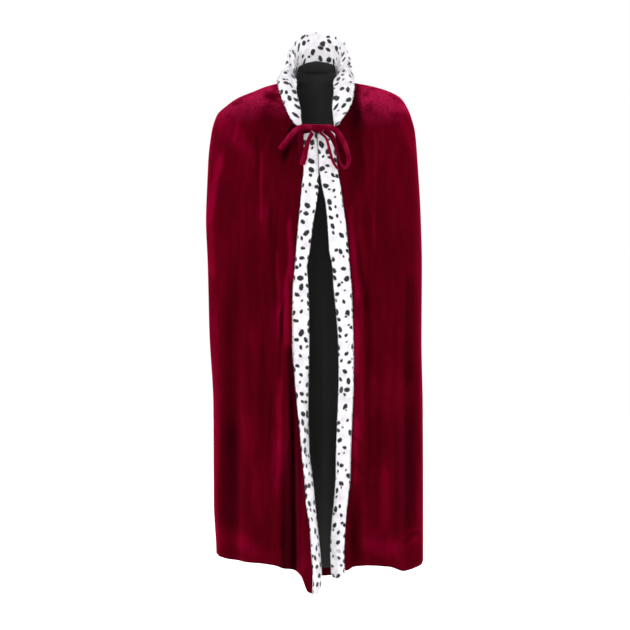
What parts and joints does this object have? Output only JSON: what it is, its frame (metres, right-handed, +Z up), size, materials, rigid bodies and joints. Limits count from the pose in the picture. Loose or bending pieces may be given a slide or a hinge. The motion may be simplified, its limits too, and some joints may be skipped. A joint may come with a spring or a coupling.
{
  "type": "royal mantle",
  "caption": "Long open-fronted velvet mantle with a spotted fur collar, fur bands down the front edges and a ribbon tie, in the form it has when worn.",
  "frame": {"origin": "middle of the neck opening, at the height where the cloth lies beside the neck", "axes": "+Z up along the standing wearer, -Y the way the wearer faces, +X to the wearer's left"},
  "size_m": [0.5193, 0.3313, 1.3543],
  "materials": {
    "velvet": "burgundy velvet with a soft sheen",
    "lining_satin": "black satin",
    "spotted_fur": "short white fur with black spots",
    "ribbon": "crimson velvet ribbon"
  },
  "bodies": {
    "root": {"back": "velvet", "front_right": "velvet", "front_left": "velvet", "lining_back": "lining_satin", "collar": "spotted_fur", "band_right": "spotted_fur", "band_left": "spotted_fur", "tie_tape": "ribbon", "tie_knot": "ribbon", "tie_loop_right": "ribbon", "tie_loop_left": "ribbon", "tie_hang_right": "ribbon", "tie_tail_left": "ribbon"}
  },
  "joints": []
}
